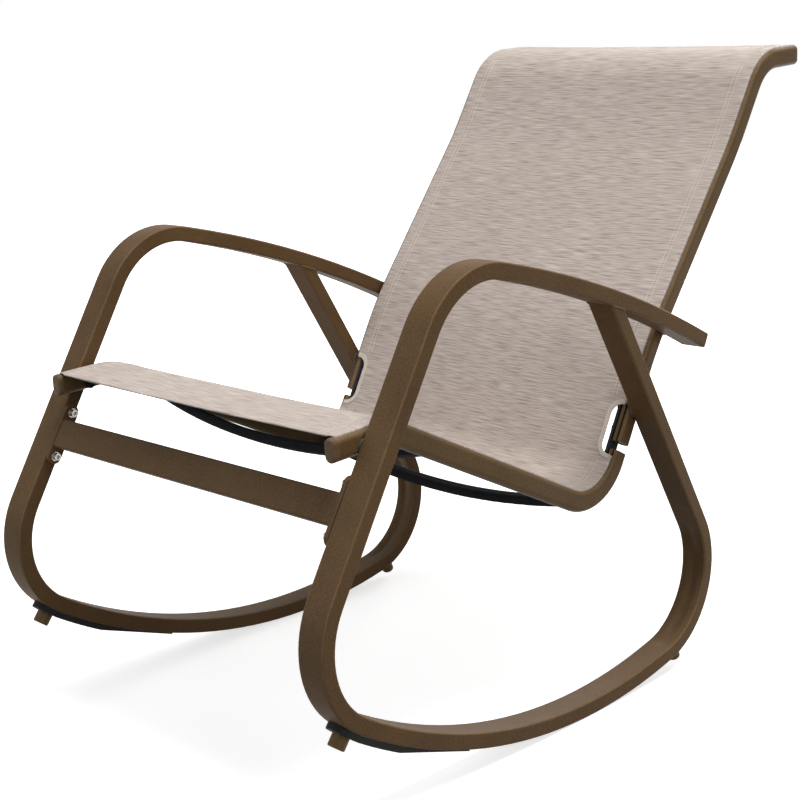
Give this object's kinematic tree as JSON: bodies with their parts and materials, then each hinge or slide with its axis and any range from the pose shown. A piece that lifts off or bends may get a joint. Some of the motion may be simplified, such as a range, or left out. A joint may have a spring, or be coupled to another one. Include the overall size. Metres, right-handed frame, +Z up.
{
  "type": "sling rocking chair",
  "caption": "Outdoor rocking chair with bent rectangular tube side frames and a taut woven sling held in slotted side rails.",
  "frame": {"origin": "on the floor under the middle of the chair's width and depth, at rest", "axes": "+Z up, -Y the front of the chair, +X the sitter's left side (the near side in the picture)"},
  "size_m": [0.63, 1.0836, 0.9138],
  "materials": {
    "frame_brown": "bronze brown powder coat, satin",
    "rail_brown": "lighter bronze brown powder coat, satin",
    "black_steel": "black coat, satin",
    "bolt_steel": "zinc plated",
    "rubber": "matt",
    "stop_brown": "brown, satin",
    "black_plastic": "moulded",
    "cap_brown": "moulded, brown",
    "sling": "coarse woven taupe, fine crosswise streaks",
    "trim": "cream woven tape"
  },
  "bodies": {
    "root": {"frame_right": "frame_brown", "frame_left": "frame_brown", "arm_cap_right": "cap_brown", "arm_cap_left": "cap_brown", "runner_strip_right": "rubber", "runner_strip_left": "rubber", "front_stop_right": "stop_brown", "front_stop_left": "stop_brown", "rear_stop_right": "stop_brown", "rear_stop_left": "stop_brown", "front_stretcher": "frame_brown", "stretcher_bolts": "bolt_steel", "stretcher_washers": "bolt_steel", "stretcher_nuts": "bolt_steel", "seat_rail_right": "rail_brown", "seat_rail_left": "rail_brown", "back_rail_right": "rail_brown", "back_rail_left": "rail_brown", "seat_rail_cap_right": "cap_brown", "seat_rail_cap_left": "cap_brown", "back_rail_cap_right": "cap_brown", "back_rail_cap_left": "cap_brown", "sling": "sling", "cutout_trim_right": "trim", "cutout_trim_left": "trim", "seat_rod_right": "black_plastic", "seat_rod_left": "black_plastic", "back_rod_right": "black_plastic", "back_rod_left": "black_plastic", "joint_bracket_right": "black_steel", "joint_bracket_left": "black_steel", "bracket_bolts": "black_steel", "bracket_nuts": "bolt_steel", "frame_bolts": "black_steel", "frame_spacers": "black_plastic", "frame_nuts": "bolt_steel", "front_seat_spreader": "black_steel", "rear_seat_spreader": "black_steel", "lower_back_spreader": "black_steel", "upper_back_spreader": "black_steel", "spreader_plugs": "black_plastic"}
  },
  "joints": []
}
